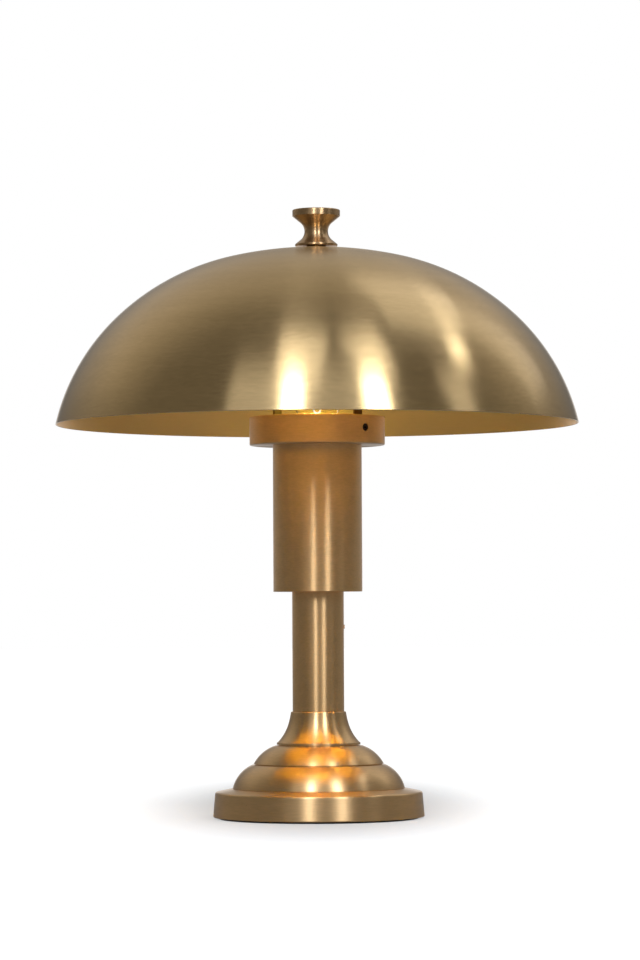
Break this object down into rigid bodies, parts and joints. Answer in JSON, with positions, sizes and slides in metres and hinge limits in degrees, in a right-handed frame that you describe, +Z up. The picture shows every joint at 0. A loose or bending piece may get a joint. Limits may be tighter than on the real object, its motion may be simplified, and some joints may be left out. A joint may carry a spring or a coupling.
{
  "type": "table lamp",
  "caption": "Table lamp with a spun metal dome shade held by a spool-shaped knob, on a tube, stem and stepped round foot.",
  "frame": {"origin": "centre of the felt's underside, on the surface that the lamp stands on", "axes": "+Z up along the lamp's axis, the cord inlet towards +Y, the set screw in the stem towards +X"},
  "size_m": [0.4199, 0.42, 0.4888],
  "materials": {
    "foot_brass": "satin antique brass, turned with fine rings round the axis",
    "stem_brass": "satin antique brass, brushed round the tube",
    "shade_brass": "satin antique brass, spun, with fine rings round the crown",
    "inner_brass": "plain turned brass, unlacquered",
    "steel": "zinc-plated steel",
    "harp_steel": "brass-plated steel strip",
    "iron": "black painted casting",
    "cover_steel": "black painted sheet steel",
    "felt": "pressed felt",
    "grommet": "moulded dark plastic",
    "block": "moulded natural nylon",
    "lead_sheath": "matt sheath",
    "earth_sheath": "matt sheath",
    "holder": "moulded phenolic",
    "porcelain": "white glazed porcelain",
    "nickel": "nickel-plated",
    "cap_insulator": "black glass",
    "bulb_glass": "clear glass",
    "stem_glass": "clear glass",
    "filament": "yellow filament strips"
  },
  "bodies": {
    "stand": {"felt_pad": "felt", "bottom_cover": "cover_steel", "cover_screws": "steel", "ballast_weight": "iron", "ballast_screws": "steel", "base_plate": "foot_brass", "cord_grommet": "grommet", "terminal_block": "block", "terminal_screws": "inner_brass", "block_screw": "steel", "earth_wire": "earth_sheath", "earth_screw": "inner_brass", "lower_step": "foot_brass", "upper_step": "foot_brass", "stem_flare": "foot_brass", "stem_tube": "stem_brass", "stem_bush": "inner_brass", "stem_screw": "stem_brass", "threaded_rod": "steel", "rod_nuts": "steel", "rod_washers": "steel", "inner_lead": "lead_sheath", "housing_floor": "stem_brass", "housing_tube": "stem_brass", "collar": "stem_brass", "collar_screws": "steel", "harp": "harp_steel", "harp_stud": "steel", "lampholder_bell": "holder", "lampholder_insert": "porcelain", "lampholder_contact": "inner_brass", "lampholder_sleeve": "holder", "screw_shell": "nickel", "clamping_ring": "holder"},
    "seat": {"shade_seat": "inner_brass"},
    "shade": {"shade": "shade_brass"},
    "washer": {"knob_washer": "inner_brass"},
    "knob": {"knob": "foot_brass"},
    "bulb_contact": {"bulb_tip": "nickel"},
    "bulb": {"bulb_insulator": "cap_insulator", "bulb_cap": "nickel", "bulb_glass": "bulb_glass", "bulb_stem": "stem_glass", "bulb_filaments": "filament"}
  },
  "joints": [
    {"name": "shade_lift", "type": "slide", "parent": "stand", "child": "seat", "axis": [0, 0, 1], "range_m": [0, 0.16]},
    {"name": "shade_turn", "type": "hinge", "parent": "seat", "child": "shade", "pos_m": [0, 0, 0.457], "axis": [0, 0, 1], "continuous": true},
    {"name": "knob_rise", "type": "slide", "parent": "shade", "child": "washer", "axis": [0, 0, 1], "range_m": [0, 0.0135]},
    {"name": "knob_unscrew", "type": "hinge", "parent": "washer", "child": "knob", "pos_m": [0, 0, 0.47], "axis": [0, 0, 1], "range_deg": [0, 4680]},
    {"name": "bulb_rise", "type": "slide", "parent": "stand", "child": "bulb_contact", "axis": [0, 0, 1], "range_m": [0, 0.024]},
    {"name": "bulb_unscrew", "type": "hinge", "parent": "bulb_contact", "child": "bulb", "pos_m": [0, 0, 0.305], "axis": [0, 0, 1], "range_deg": [0, 2340]}
  ],
  "couplings": [
    {"joint": "knob_rise", "follows": "knob_unscrew", "m_per_rad": 0.00015915},
    {"joint": "bulb_rise", "follows": "bulb_unscrew", "m_per_rad": 0.00057614}
  ]
}
